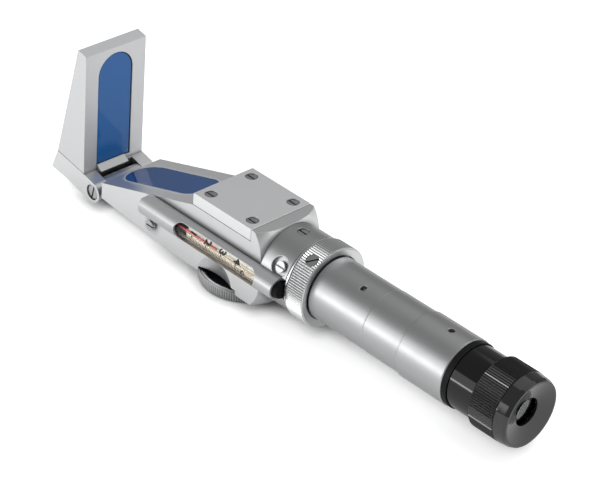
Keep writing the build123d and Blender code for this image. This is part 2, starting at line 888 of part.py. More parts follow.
def tube_middle():
    return turned(
        (seat_rear_x, inner_tube_radius + seat_gap),
        (seat_rear_x, tube_middle_radius - tube_bevel),
        (seat_rear_x + tube_bevel, tube_middle_radius),
        (middle_rear_x, tube_middle_radius),
        (middle_rear_x, inner_tube_radius + seat_gap))


def tube_rear():
    tube = turned(
        (middle_rear_x, inner_tube_radius + seat_gap),
        (middle_rear_x, tube_rear_radius - tube_bevel),
        (middle_rear_x + tube_bevel, tube_rear_radius),
        (tube_rear_x - tube_rear_bevel, tube_rear_radius),
        (tube_rear_x, tube_rear_radius - tube_rear_bevel),
        (tube_rear_x, inner_tube_radius + seat_gap))
    return tube - drill(rear_set_screw_plane(), set_screw_radius + seat_gap, set_screw_reach())


def tube_set_screws():
    """Headless screws, sunk under the faces of the tube sections."""
    screws = []
    for plane in (front_set_screw_plane(), rear_set_screw_plane()):
        body = drill(plane, set_screw_radius, set_screw_reach(), -set_screw_depth)
        slot = plane * Pos(0, 0, -set_screw_depth) * Box(
            2 * set_screw_radius, screw_slot_width / 2, screw_slot_depth)
        screws.append(body - slot)
    return screws


def objective_front_x():
    return objective_x - objective_cell_length / 2


def objective_glass_x():
    return objective_front_x() + objective_ring_length + face_gap


def objective_cell():
    stop_x = objective_glass_x() + objective_edge + face_gap
    rear_x = objective_front_x() + objective_cell_length
    outer = inner_tube_bore - seat_gap
    return turned(
        (objective_front_x(), objective_seat_radius), (objective_front_x(), outer),
        (rear_x, outer), (rear_x, objective_cell_bore), (stop_x, objective_cell_bore),
        (stop_x, objective_seat_radius))


def objective_lens():
    return lens(objective_glass_x(), objective_edge, objective_crown,
                objective_seat_radius - seat_gap, objective_cell_bore - seat_gap)


def objective_ring():
    return sleeve(objective_front_x(), objective_glass_x() - face_gap,
                  objective_seat_radius - seat_gap, objective_cell_bore)


# Eyepiece

def shoulder_ring():
    return turned(
        (tube_rear_x, inner_tube_radius + seat_gap),
        (tube_rear_x, shoulder_ring_radius - tube_bevel),
        (tube_rear_x + tube_bevel, shoulder_ring_radius),
        (barrel_shoulder_x, shoulder_ring_radius),
        (barrel_shoulder_x, inner_tube_radius + seat_gap))


def reticle_stop_x():
    return barrel_spigot_x + reticle_ring_length + reticle_thickness


def eyepiece_barrel():
    stop_x = cell_front_x - diopter_travel - barrel_stop_gap
    barrel = turned(
        (barrel_spigot_x, reticle_radius + seat_gap), (barrel_spigot_x, inner_tube_radius),
        (barrel_shoulder_x, inner_tube_radius), (barrel_shoulder_x, barrel_radius),
        (barrel_rear_x, barrel_radius), (barrel_rear_x, barrel_bore + turn_gap),
        (stop_x, barrel_bore + turn_gap), (stop_x, barrel_spigot_bore),
        (reticle_stop_x(), barrel_spigot_bore), (reticle_stop_x(), reticle_radius + seat_gap))
    return barrel - drill(rear_set_screw_plane(), set_screw_radius + seat_gap, set_screw_reach())


def reticle_glass():
    return bar_x(0, 0, reticle_radius, reticle_stop_x() - reticle_thickness, reticle_stop_x())


def reticle_ring():
    return sleeve(barrel_spigot_x, barrel_spigot_x + reticle_ring_length, reticle_radius,
                  barrel_spigot_bore)


def diopter_ring():
    core = diopter_radius - diopter_knurl_depth - rim_drop
    bore = barrel_radius + turn_gap
    neck = ocular_neck_radius + turn_gap
    ring = turned(
        (diopter_front_x, bore), (diopter_front_x, core - diopter_bevel),
        (diopter_front_x + diopter_bevel, core), (diopter_rear_x, core), (diopter_rear_x, neck),
        (flange_front_x, neck), (flange_front_x, bore))
    band_start = Plane(origin=(diopter_front_x + diopter_bevel, 0, 0), z_dir=(1, 0, 0))
    band = knurled_band(band_start, diopter_radius, diopter_knurl_depth, diopter_knurl_pitch,
                        diopter_ring_length - 2 * diopter_bevel)
    return ring + (band - bar_x(0, 0, bore + rim_drop, diopter_front_x, diopter_rear_x))


def eyecup():
    """The turned cup round the eye opening, with a shallow dish."""
    cavity_x = diopter_rear_x + eyecup_cavity_depth
    dish_x = eyecup_rim_x - eyecup_dish_depth
    return turned(
        (diopter_rear_x, eyecup_cavity_radius), (diopter_rear_x, diopter_radius - rim_drop),
        (eyecup_rim_x - eyecup_rim_length, eyecup_shoulder_radius),
        (eyecup_rim_x, eyecup_rim_radius), (eyecup_rim_x, eyecup_rim_radius - eyecup_lip),
        (dish_x, eyecup_eye_radius), (cavity_x, eyecup_eye_radius),
        (cavity_x, eyecup_cavity_radius))


def field_glass_x():
    return cell_front_x + field_lens_ring_length


def eye_glass_x():
    return neck_rear_x - eye_lens_edge


def ocular_cell():
    """The sliding cell of the two eyepiece lenses, with the neck that carries the ring."""
    outer = barrel_bore
    step_x = field_glass_x() + field_lens_edge
    return turned(
        (cell_front_x, field_lens_radius + seat_gap), (cell_front_x, outer),
        (cell_rear_x, outer), (cell_rear_x, ocular_neck_radius),
        (neck_rear_x, ocular_neck_radius), (neck_rear_x, eye_lens_radius + seat_gap),
        (eye_glass_x(), eye_lens_radius + seat_gap), (eye_glass_x(), eye_lens_stop),
        (eye_glass_x() - eye_lens_crown - face_gap, eye_lens_stop),
        (step_x + field_lens_crown + face_gap, ocular_cell_bore), (step_x, ocular_cell_bore),
        (step_x, field_lens_radius + seat_gap))


def field_lens():
    return lens(field_glass_x(), field_lens_edge, field_lens_crown, field_lens_radius,
                ocular_cell_bore - seat_gap)


def field_lens_ring():
    return sleeve(cell_front_x, field_glass_x(), field_lens_radius, ocular_cell_bore)


def eye_lens():
    """The eye lens, with its flat face to the eye."""
    blank = lens(-neck_rear_x, eye_lens_edge, eye_lens_crown, eye_lens_radius,
                 eye_lens_stop - seat_gap)
    return mirror(blank, Plane.YZ)


def ocular_retainer():
    """The nut on the neck, with a lip that holds the eye lens."""
    return turned(
        (retainer_front_x, ocular_neck_radius + seat_gap),
        (retainer_front_x, ocular_retainer_radius),
        (neck_rear_x + retainer_lip, ocular_retainer_radius),
        (neck_rear_x + retainer_lip, eye_lens_stop), (neck_rear_x, eye_lens_stop),
        (neck_rear_x, ocular_neck_radius + seat_gap))


# Thermometer

def thermometer_front_x():
    return plate_rear_x - thermometer_front


def thermometer_rear_x():
    return plate_rear_x + thermometer_rear


def glass_front_x():
    return plate_rear_x - sight_front - glass_front_end


def glass_rear_x():
    return plate_rear_x + sight_rear + glass_rear_end


def thermometer_plane(angle, reach):
    """A plane through the thermometer that faces out of its side, raised by an angle."""
    outward = (0, -cos(radians(angle)), sin(radians(angle)))
    origin = (plate_rear_x, thermometer_y + reach * outward[1], reach * outward[2])
    return Plane(origin=origin, x_dir=(1, 0, 0), z_dir=outward)


def thermometer_housing():
    housing = bar_x(thermometer_y, 0, thermometer_radius, thermometer_front_x(),
                    thermometer_rear_x())
    bore_x = thermometer_front_x() + thermometer_nose
    housing -= bar_x(thermometer_y, 0, thermometer_bore, bore_x, thermometer_rear_x())
    sight = Pos((sight_rear - sight_front) / 2, 0) * SlotOverall(
        sight_front + sight_rear, sight_width)
    housing -= extrude(thermometer_plane(sight_angle, sight_depth) * sight, thermometer_radius)
    above = slope_section * Pos(slope_run / 2, over / 2) * Rectangle(2 * slope_run, over)
    return housing - extrude(above, head_width, both=True)


def thermometer_glass():
    outer = thermometer_bore - seat_gap
    return (bar_x(thermometer_y, 0, outer, glass_front_x(), glass_rear_x())
            - bar_x(thermometer_y, 0, outer - glass_wall, glass_front_x(), glass_rear_x()))


def scale_reach():
    return thermometer_bore - seat_gap - glass_wall - seat_gap


def thermometer_scale():
    """The pale plate behind the capillary, flat in front and round behind."""
    blank = bar_x(thermometer_y, 0, scale_reach(), plate_rear_x - scale_front, glass_rear_x())
    front = thermometer_plane(scale_angle, -scale_set_back)
    room = Box(4 * thermometer_front, 4 * thermometer_radius, 2 * thermometer_radius,
               align=(Align.CENTER, Align.CENTER, Align.MIN))
    return blank - front * room


def capillary_centre():
    outward = thermometer_plane(scale_angle, capillary_radius + seat_gap - scale_set_back).origin
    return (outward.Y, outward.Z)


def bulb_rear_x():
    return glass_front_x() + face_gap + bulb_length


def thermometer_capillary():
    y, z = capillary_centre()
    start = bulb_rear_x() + face_gap
    end = glass_rear_x() - face_gap
    tube = bar_x(y, z, capillary_radius, start, end)
    return tube - bar_x(y, z, column_radius + seat_gap, start, end)


def spirit_column():
    """The red thread and its bulb."""
    y, z = capillary_centre()
    end = bulb_rear_x()
    bulb = bar_x(y, z, bulb_radius, end - bulb_length, end)
    return bulb + bar_x(y, z, column_radius, end, end + column_rise)


def thermometer_cap():
    """A plug in the housing's end, with a cone that stands out of it."""
    start = thermometer_rear_x()
    plug_radius = thermometer_bore - seat_gap
    plug = bar_x(thermometer_y, 0, plug_radius, start - cap_plug_length, start)
    middle = Plane(origin=(start + cap_length / 2, thermometer_y, 0), z_dir=(1, 0, 0))
    return plug + middle * Cone(plug_radius, cap_tip_radius, cap_length)


# Cover and hinge

def hinge_screw_planes():
    for side in (1, -1):
        origin = (pivot_x, side * (head_side - hinge_screw_recess), pivot_z)
        face = Plane(origin=origin, x_dir=(1, 0, 0), z_dir=(0, side, 0))
        yield face * Rot(0, 0, -side * hinge_screw_slot_turn)


def hinge_screw_length():
    return head_side - hinge_screw_recess - hinge_tongue_width / 2 + hinge_screw_bite


def hinge_screws():
    return [screw(plane, hinge_screw_head_radius, hinge_screw_head_height,
                  hinge_screw_shank_radius, hinge_screw_length())
            for plane in hinge_screw_planes()]


def cover_outer_point(rise):
    """A point on the cover's outer face, at a height over the pivot."""
    top_x = cover_face_x - cover_end_thickness
    drop = cover_rise + cover_end_lean - rise
    return (top_x - drop * tan(radians(cover_wedge_angle)), pivot_z + rise)


def cover_body():
    """The wedge that carries the illuminating glass."""
    top = pivot_z + cover_rise
    body = side_block(
        head_side,
        (cover_face_x, pivot_z + seam_inner_rise), (cover_face_x, top - cover_end_chamfer),
        (cover_face_x - cover_end_chamfer, top),
        (cover_face_x - cover_end_thickness, top + cover_end_lean),
        cover_outer_point(seam_outer_rise))
    body = chamfer(body.faces().sort_by(Axis.Z)[0].edges().sort_by(Axis.Y)[::3], seam_chamfer)
    window = cover_face * arch(cover_window_radius, cover_window_bottom, cover_window_top)
    body -= extrude(window, -cover_glass_depth)
    for plane in cover_screw_planes():
        body -= screw_room(plane, *cover_screw_size())
    return body


def cover_arm():
    """The foot of the cover, with two ears on the hinge screws."""
    seam_inner = (cover_face_x, pivot_z + seam_inner_rise)
    heel = (pivot_x - arm_heel_x, pivot_z - arm_heel_z)
    upper = tangent_point(seam_inner, pivot, hinge_ear_radius, -1)
    lower = tangent_point(heel, pivot, hinge_ear_radius, 1)
    arm = side_block(
        head_side, seam_inner, upper, pivot, lower, heel,
        (pivot_x - arm_end_x, pivot_z + arm_end_z), cover_outer_point(seam_outer_rise))
    arm += Plane(origin=(pivot_x, 0, pivot_z), z_dir=(0, 1, 0)) * Cylinder(
        hinge_ear_radius, head_width)
    slot_x = pivot_x - hinge_tongue_radius - hinge_slot_gap
    slot_width = hinge_tongue_width + 2 * face_gap
    arm -= Pos(slot_x, 0, pivot_z) * Box(
        4 * hinge_ear_radius, slot_width, 4 * hinge_ear_radius,
        align=(Align.MIN, Align.CENTER, Align.CENTER))
    for plane in hinge_screw_planes():
        arm -= drill(plane, hinge_screw_head_radius + hinge_screw_room,
                     hinge_screw_head_height + face_gap)
        arm -= drill(plane, hinge_screw_shank_radius + turn_gap, hinge_screw_length())
    for plane in cover_screw_planes():
        arm -= screw_room(plane, *cover_screw_size())
    return arm


def cover_screw_planes():
    """Under the arm, where two screws hold it to the wedge."""
    height = pivot_z - arm_heel_z
    for side in (1, -1):
        origin = (pivot_x - cover_screw_x, side * (head_side - cover_screw_inset_y), height)
        yield Plane(origin=origin, x_dir=(1, 0, 0), z_dir=(0, 0, -1))


def cover_screw_size():
    return (cover_screw_head_radius, cover_screw_head_height, cover_screw_shank_radius,
            cover_screw_length)


def cover_screws():
    return [screw(plane, *cover_screw_size()) for plane in cover_screw_planes()]


def illuminating_glass():
    outline = arch(cover_window_radius - seat_gap, cover_window_bottom + seat_gap,
                   cover_window_top - seat_gap)
    glass = extrude(cover_face * outline, -cover_glass_depth)
    glass -= cover_face * Box(head_width, 2 * cover_rise, 2 * cover_glass_recess)
    return chamfer(glass.faces().sort_by(Axis.X)[-1].edges(), cover_glass_bevel)


def glass_lip_bar():
    """The slanted bar that holds the foot of the illuminating glass."""
    near_end = Plane(origin=(0, -lip_near_end, 0), x_dir=(1, 0, 0), z_dir=(0, -1, 0))
    face = near_end * make_face(Polyline(
        (cover_face_x, pivot_z + seam_inner_rise), (cover_face_x, pivot_z + lip_top_rise),
        (cover_face_x + lip_toe_reach, pivot_z + seam_inner_rise), close=True))
    return extrude(face, -lip_near_end - lip_far_end)


# One file for each piece, or for each set of like screws

pieces = [
    head_block, top_plate, plate_screws, measuring_prism, prism_bezel, zero_screw,
    selector_wheel, selector_screw, selector_shaft, selector_bush, prism_turret, turret_prisms,
    click_spring, click_screw,
    rear_collar, collar_screws, inner_tube, tube_front, tube_middle, tube_rear, tube_set_screws,
    adjusting_ring, ring_drive_screws, compensator_cell, compensator_prism, compensator_ring,
    objective_cell, objective_lens, objective_ring,
    shoulder_ring, eyepiece_barrel, reticle_glass, reticle_ring, diopter_ring, eyecup,
    ocular_cell, field_lens, field_lens_ring, eye_lens, ocular_retainer,
    thermometer_housing, thermometer_glass, thermometer_scale, thermometer_capillary,
    spirit_column, thermometer_cap,
    hinge_screws, cover_body, cover_arm, cover_screws, illuminating_glass, glass_lip_bar,
]

os.makedirs("parts", exist_ok=True)
for piece in pieces:
    made = piece()
    if isinstance(made, list):
        made = Compound(children=made)
    export_step(made, f"parts/{piece.__name__}.step")
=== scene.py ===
import json
from math import cos, pi, radians, sin
import bmesh
import bpy
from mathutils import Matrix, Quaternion, Vector


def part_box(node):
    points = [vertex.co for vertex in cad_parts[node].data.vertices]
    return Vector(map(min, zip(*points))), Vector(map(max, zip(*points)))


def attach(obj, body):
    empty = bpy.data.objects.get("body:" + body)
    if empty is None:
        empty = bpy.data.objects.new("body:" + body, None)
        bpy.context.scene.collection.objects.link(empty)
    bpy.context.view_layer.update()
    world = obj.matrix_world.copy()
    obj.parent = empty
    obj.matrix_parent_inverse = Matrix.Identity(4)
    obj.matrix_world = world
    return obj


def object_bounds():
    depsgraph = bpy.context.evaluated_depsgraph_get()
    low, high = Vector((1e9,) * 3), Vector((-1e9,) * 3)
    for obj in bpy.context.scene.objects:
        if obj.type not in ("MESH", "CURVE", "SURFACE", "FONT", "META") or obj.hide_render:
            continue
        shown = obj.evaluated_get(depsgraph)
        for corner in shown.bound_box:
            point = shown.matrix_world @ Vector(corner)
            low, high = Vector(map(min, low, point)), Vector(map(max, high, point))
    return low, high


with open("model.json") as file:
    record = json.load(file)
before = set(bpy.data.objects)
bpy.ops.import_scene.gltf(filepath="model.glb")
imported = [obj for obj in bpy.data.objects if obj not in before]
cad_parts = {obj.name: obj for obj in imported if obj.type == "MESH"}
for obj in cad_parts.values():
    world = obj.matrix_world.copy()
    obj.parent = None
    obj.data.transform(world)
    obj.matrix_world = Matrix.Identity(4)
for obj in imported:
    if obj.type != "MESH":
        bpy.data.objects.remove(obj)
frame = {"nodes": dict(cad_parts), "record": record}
cad_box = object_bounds()

# Looks of the hand-held refractometer. Sizes are in metres, in the frame of the CAD:
# +X runs to the eyepiece, +Z out of the top plate, and -Y is the thermometer's side.
MM = 0.001
WHITE = (1, 1, 1, 1)
nodes = frame["nodes"]
record = frame["record"]
scene = bpy.context.scene


# Shader nodes

# Places of the colour sockets on a Mix node
MIX_SHARE = 0
MIX_FIRST = 6
MIX_SECOND = 7
MIX_RESULT = 2


def place(tree, kind, inputs=(), **settings):
    """Adds a shader node. An input is given a value, or another node's socket."""
    node = tree.nodes.new("ShaderNode" + kind)
    for name, value in settings.items():
        setattr(node, name, value)
    for name, value in dict(inputs).items():
        join(tree, value, node.inputs[name])
    return node


def join(tree, value, socket):
    """Links a socket to an input, or writes a plain value on it."""
    if isinstance(value, bpy.types.NodeSocket):
        tree.links.new(value, socket)
    else:
        socket.default_value = value


def calc(tree, operation, *terms, clamp=False):
    node = place(tree, "Math", operation=operation, use_clamp=clamp)
    for socket, term in zip(node.inputs, terms):
        join(tree, term, socket)
    return node.outputs[0]


def blend_colour(tree, share, first, second):
    """Mixes two colours. The share is how much of the second one shows."""
    node = place(tree, "Mix", data_type="RGBA")
    join(tree, share, node.inputs[MIX_SHARE])
    join(tree, first, node.inputs[MIX_FIRST])
    join(tree, second, node.inputs[MIX_SECOND])
    return node.outputs[MIX_RESULT]


def own_place(tree):
    """The X, Y and Z of a point on the piece, which turn and slide with it."""
    here = place(tree, "TexCoord").outputs["Object"]
    return place(tree, "SeparateXYZ", {"Vector": here}).outputs


def clear_where(tree, mask, surface, tint=WHITE):
    """Lets the rays that the mask picks pass straight through the surface."""
    mixed = place(tree, "MixShader", {"Fac": mask})
    open_way = place(tree, "BsdfTransparent", {"Color": tint})
    solid, clear = mixed.inputs[1], mixed.inputs[2]
    join(tree, surface.links[0].from_socket, solid)
    join(tree, open_way.outputs[0], clear)
    join(tree, mixed.outputs[0], surface)


def effect(name, inputs, outputs):
    """Starts a shader node group, and gives its tree with its two ends."""
    tree = bpy.data.node_groups.new(name, "ShaderNodeTree")
    for title, value in inputs.items():
        socket = tree.interface.new_socket(title, in_out="INPUT", socket_type="NodeSocketFloat")
        socket.default_value = value
    for title, kind in outputs.items():
        tree.interface.new_socket(title, in_out="OUTPUT", socket_type="NodeSocket" + kind)
    start = tree.nodes.new("NodeGroupInput")
    end = tree.nodes.new("NodeGroupOutput")
    return tree, start.outputs, end.inputs


def use(tree, group, **values):
    """Places an effect in a material with its own values."""
    node = tree.nodes.new("ShaderNodeGroup")
    node.node_tree = group
    for name, value in values.items():
        join(tree, value, node.inputs[name.replace("_", " ").capitalize()])
    return node.outputs


def make_grain():
    """Blasted or moulded grain, with patches that are a little smoother or duller."""
    tree, given, made = effect(
        "fine_grain",
        {"Grain size": 0.3 * MM, "Patch size": 6 * MM, "Roughness": 0.35, "Spread": 0.08},
        {"Roughness": "Float", "Height": "Float"})
    here = place(tree, "TexCoord").outputs["Object"]
    grains = calc(tree, "DIVIDE", 1.0, given["Grain size"])
    grain = place(tree, "TexNoise", {"Vector": here, "Scale": grains, "Detail": 3.0})
    spots = calc(tree, "DIVIDE", 1.0, given["Patch size"])
    patches = place(tree, "TexNoise", {"Vector": here, "Scale": spots, "Detail": 2.0})
    around = calc(tree, "SUBTRACT", patches.outputs["Fac"], 0.5)
    join(tree, calc(tree, "MULTIPLY_ADD", around, given["Spread"], given["Roughness"]),
         made["Roughness"])
    join(tree, grain.outputs["Fac"], made["Height"])
    return tree


def make_turning_lines():
    """Fine rings left by the lathe, round the optical axis and across end faces."""
    tree, given, made = effect("turning_lines", {"Pitch": 0.2 * MM}, {"Height": "Float"})
    here = own_place(tree)
    radius = calc(tree, "SQRT", calc(tree, "ADD", calc(tree, "POWER", here["Y"], 2.0),
                                     calc(tree, "POWER", here["Z"], 2.0)))
    along = calc(tree, "DIVIDE", calc(tree, "ADD", here["X"], radius), given["Pitch"])
    lines = place(tree, "TexNoise", {"W": along, "Scale": 1.0, "Detail": 3.0},
                  noise_dimensions="1D")
    join(tree, lines.outputs["Fac"], made["Height"])
    return tree


def make_soft_edges():
    """Rounds the normals at a piece's edges, and masks the edges where the finish rubs off; on
    metal their lighter colour is partly a painted highlight.
    """
    edge_gain = 4.0
    tree, given, made = effect("soft_edges", {"Radius": 0.25 * MM},
                               {"Normal": "Vector", "Edge": "Float"})
    rounded = place(tree, "Bevel", {"Radius": given["Radius"]}, samples=6).outputs["Normal"]
    plain = place(tree, "NewGeometry").outputs["Normal"]
    match = place(tree, "VectorMath", operation="DOT_PRODUCT")
    join(tree, rounded, match.inputs[0])
    join(tree, plain, match.inputs[1])
    turned = calc(tree, "SUBTRACT", 1.0, match.outputs["Value"])
    join(tree, calc(tree, "MULTIPLY", turned, edge_gain, clamp=True), made["Edge"])
    join(tree, rounded, made["Normal"])
    return tree


def make_crevice_dirt():
    """Painted shade: masks grooves, slots, seams and hollows by ambient occlusion, so that the
    colour darkens where shade falls.
    """
    tree, given, made = effect("crevice_dirt", {"Reach": 1.0 * MM, "Strength": 1.0},
                               {"Mask": "Float"})
    shade = place(tree, "AmbientOcclusion", {"Distance": given["Reach"]}, samples=8)
    closed = calc(tree, "SUBTRACT", 1.0, shade.outputs["AO"])
    join(tree, calc(tree, "MULTIPLY", closed, given["Strength"], clamp=True), made["Mask"])
    return tree


fine_grain = make_grain()
turning_lines = make_turning_lines()
soft_edges = make_soft_edges()
crevice_dirt = make_crevice_dirt()


# Finishes

def new_material(name):
    """An empty material: its tree, its shader's inputs and its surface socket."""
    material = bpy.data.materials.new(name)
    material.use_nodes = True
    tree = material.node_tree
    tree.nodes.clear()
    shader = place(tree, "BsdfPrincipled")
    out = place(tree, "OutputMaterial", {"Surface": shader.outputs["BSDF"]})
    return material, tree, shader.inputs, out.inputs["Surface"]


def worked_surface(tree, shader, colour, *, dirt_colour, edge_colour, roughness, spread,
                   grain_size, relief, edge_radius, line_pitch=0.0, line_relief=0.0, dirt=1.0,
                   reach=1.0 * MM):
    """The grain, edges and painted crevice shade of every metal, plastic and rubber finish, in
    its own measure.
    """
    grain = use(tree, fine_grain, grain_size=grain_size, roughness=roughness, spread=spread)
    edges = use(tree, soft_edges, radius=edge_radius)
    # Painted shade: occlusion darkens the colour towards the shade colour in grooves, seams and
    # hollows.
    shaded_hollows = use(tree, crevice_dirt, reach=reach, strength=dirt)
    normal = edges["Normal"]
    if line_pitch:
        lines = use(tree, turning_lines, pitch=line_pitch)
        normal = place(tree, "Bump", {"Height": lines["Height"], "Distance": line_relief,
                                      "Normal": normal}).outputs["Normal"]
    normal = place(tree, "Bump", {"Height": grain["Height"], "Distance": relief,
                                  "Normal": normal}).outputs["Normal"]
    # Worn edges take the edge colour; on bare metal the lighter edge colour is also a painted
    # highlight.
    worn_and_lit = blend_colour(tree, edges["Edge"], colour, edge_colour)
    join(tree, blend_colour(tree, shaded_hollows["Mask"], worn_and_lit, dirt_colour), shader["Base Color"])
    join(tree, grain["Roughness"], shader["Roughness"])
    join(tree, normal, shader["Normal"])


def metal(name, colour, roughness, metallic=1.0, blacken=None, **surface):
    """A bare metal. The optional mask function picks the places that are coloured black."""
    black_colour = (0.012, 0.012, 0.013, 1)
    material, tree, shader, _ = new_material(name)
    # The light edge colour of bare metal is partly wear and partly a painted edge highlight.
    values = dict(dirt_colour=(0.03, 0.03, 0.032, 1), edge_colour=(0.92, 0.92, 0.93, 1),
                  spread=0.06, grain_size=0.25 * MM, relief=0.004 * MM, edge_radius=0.25 * MM)
    values.update(surface)
    shader["Metallic"].default_value = metallic
    if blacken:
        blackened = blacken(tree)
        colour = blend_colour(tree, blackened, colour, black_colour)
        join(tree, calc(tree, "SUBTRACT", 1.0, blackened), shader["Metallic"])
    worked_surface(tree, shader, colour, roughness=roughness, **values)
    return material


def plain(name, colour, specular=None, **surface):
    """A finish that is no metal: black, rubber, print or coloured glass over a matt back."""
    material, tree, shader, _ = new_material(name)
    worked_surface(tree, shader, colour, **surface)
    if specular is not None:
        shader["Specular IOR Level"].default_value = specular
    return material


def satin_aluminium():
    return metal("satin_aluminium", (0.78, 0.785, 0.79, 1), 0.36)


def head_aluminium():
    # Painted shade reaches 3 mm into the head's scoops and hollows.
    return metal("head_aluminium", (0.78, 0.785, 0.79, 1), 0.4, metallic=0.97, dirt=1.4,
                 reach=3.0 * MM)


def lit_plate_aluminium():
    # Lighter than the satin aluminium: partly its own matt finish, partly painted light on the
    # plate's top.
    return metal("lit_plate_aluminium", (0.86, 0.865, 0.875, 1), 0.42, metallic=0.8, reach=0.4 * MM)


def shaded_cover_aluminium():
    # Darker than the satin aluminium: painted shade over the whole cover body.
    return metal("shaded_cover_aluminium", (0.66, 0.665, 0.675, 1), 0.5, metallic=0.6, reach=1.6 * MM)


def shaded_stem_aluminium():
    # Darker than the satin aluminium as painted shade, with brown painted shade in the groove
    # round the glass.
    return metal("shaded_stem_aluminium", (0.5, 0.505, 0.51, 1), 0.38, metallic=0.65, dirt=0.6,
                 dirt_colour=(0.25, 0.21, 0.15, 1))


def bezel_aluminium():
    return metal("bezel_aluminium", (0.7, 0.705, 0.71, 1), 0.5, metallic=0.7, dirt=0.8)


def shaded_tube_aluminium():
    # Darker than the satin aluminium: partly the tube's own satin finish, partly painted shade on
    # the tube and collar.
    return metal("shaded_tube_aluminium", (0.5, 0.505, 0.51, 1), 0.4, line_pitch=0.25 * MM,
                 line_relief=0.002 * MM, edge_radius=0.5 * MM, dirt=0.7)


def knurled_aluminium():
    # Lighter than the satin aluminium: painted light on the ring's top.
    return metal("knurled_aluminium", (0.84, 0.845, 0.85, 1), 0.3, dirt=1.4,
                 edge_radius=0.1 * MM)


def wheel_top(tree):
    """Masks the selector wheel's sunk top, inside its bright rim."""
    rim_width = 1.3 * MM
    low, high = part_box("selector_wheel")
    here = own_place(tree)
    across = [calc(tree, "POWER", calc(tree, "SUBTRACT", here[i], (low[i] + high[i]) / 2), 2.0)
              for i in range(2)]
    reach = calc(tree, "SQRT", calc(tree, "ADD", *across))
    inside = calc(tree, "LESS_THAN", reach, (high.x - low.x) / 2 - rim_width)
    above = calc(tree, "GREATER_THAN", here["Z"], (low.z + high.z) / 2)
    return calc(tree, "MULTIPLY", inside, above)


def wheel_aluminium():
    return metal("wheel_aluminium", (0.72, 0.725, 0.73, 1), 0.28, blacken=wheel_top, dirt=1.6,
                 edge_radius=0.1 * MM)


def screw_steel():
    return metal("screw_steel", (0.54, 0.54, 0.55, 1), 0.24, line_pitch=0.12 * MM,
                 line_relief=0.002 * MM, edge_radius=0.12 * MM, dirt=1.2)


def spring_bronze():
    return metal("spring_bronze", (0.7, 0.45, 0.22, 1), 0.3, edge_colour=(0.85, 0.6, 0.35, 1))


def black_anodised():
    return plain("black_anodised", (0.008, 0.008, 0.009, 1), specular=0.12,
                 dirt_colour=(0.003, 0.003, 0.003, 1), edge_colour=(0.06, 0.06, 0.065, 1),
                 roughness=0.45, spread=0.08, grain_size=0.2 * MM, relief=0.004 * MM,
                 edge_radius=0.15 * MM)


def polished_black(name, specular, roughness):
    return plain(name, (0.004, 0.004, 0.0045, 1), specular=specular,
                 dirt_colour=(0.002, 0.002, 0.002, 1), edge_colour=(0.02, 0.02, 0.022, 1),
                 roughness=roughness, spread=0.05, grain_size=0.4 * MM, relief=0.001 * MM,
                 edge_radius=0.2 * MM)


def gloss_black():
    return polished_black("gloss_black", 0.5, 0.09)


def barrel_black():
    return polished_black("barrel_black", 0.4, 0.07)


def cup_black():
    return polished_black("cup_black", 0.9, 0.08)


def black_rubber():
    return plain("black_rubber", (0.002, 0.002, 0.002, 1), specular=0.2,
                 dirt_colour=(0.001, 0.001, 0.001, 1), edge_colour=(0.01, 0.01, 0.01, 1),
                 roughness=0.55, spread=0.1, grain_size=0.3 * MM, relief=0.01 * MM,
                 edge_radius=0.3 * MM)


def scale_cream():
    """Milk-white enamel, browner towards the bottom."""
    brown = (0.66, 0.56, 0.4, 1)
    milk_white = (0.97, 0.95, 0.86, 1)
    brown_depth = 0.8 * MM
    blend_height = 1.2 * MM
    material, tree, shader, _ = new_material("scale_cream")
    low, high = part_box("thermometer_glass")
    above = calc(tree, "SUBTRACT", own_place(tree)["Z"], (low.z + high.z) / 2 - brown_depth)
    pale = calc(tree, "DIVIDE", above, blend_height, clamp=True)
    worked_surface(tree, shader, blend_colour(tree, pale, brown, milk_white),
                   dirt_colour=(0.3, 0.25, 0.17, 1), edge_colour=(0.88, 0.85, 0.75, 1),
                   roughness=0.4, spread=0.06, grain_size=0.5 * MM, relief=0.002 * MM,
                   edge_radius=0.1 * MM, dirt=0.15)
    return material


def red_spirit():
    return plain("red_spirit", (0.85, 0.008, 0.015, 1),
                 dirt_colour=(0.3, 0.0, 0.01, 1), edge_colour=(0.9, 0.03, 0.04, 1),
                 roughness=0.3, spread=0.03, grain_size=0.5 * MM, relief=0.001 * MM,
                 edge_radius=0.05 * MM, dirt=0.2)


def print_black():
    return plain("print_black", (0.01, 0.01, 0.012, 1),
                 dirt_colour=(0.005, 0.005, 0.005, 1), edge_colour=(0.02, 0.02, 0.02, 1),
                 roughness=0.5, spread=0.1, grain_size=0.1 * MM, relief=0.002 * MM,
                 edge_radius=0.02 * MM, dirt=0.0)


def coloured_glass(name, colour, specular):
    """Deep coloured glass over a matt back. It mirrors the studio only faintly."""
    return plain(name, colour, specular=specular,
                 dirt_colour=(0.004, 0.02, 0.1, 1), edge_colour=(0.1, 0.2, 0.45, 1),
                 roughness=0.06, spread=0.03, grain_size=3 * MM, relief=0.0005 * MM,
                 edge_radius=0.2 * MM, dirt=0.4)


def blue_glass():
    return coloured_glass("blue_glass", (0.016, 0.105, 0.32, 1), 0.4)


def prism_glass():
    return coloured_glass("prism_glass", (0.006, 0.047, 0.17, 1), 0.32)


def clear_glass(name, colour, ior):
    """Light passes to what lies behind the glass, also on the way from the lamps."""
    material, tree, shader, surface = new_material(name)
    grain = use(tree, fine_grain, grain_size=2 * MM, roughness=0.02, spread=0.02)
    shader["Base Color"].default_value = colour
    shader["Transmission Weight"].default_value = 1.0
    shader["IOR"].default_value = ior
    join(tree, grain["Roughness"], shader["Roughness"])
    shadow = place(tree, "LightPath").outputs["Is Shadow Ray"]
    clear_where(tree, shadow, surface, tint=colour)
    return material


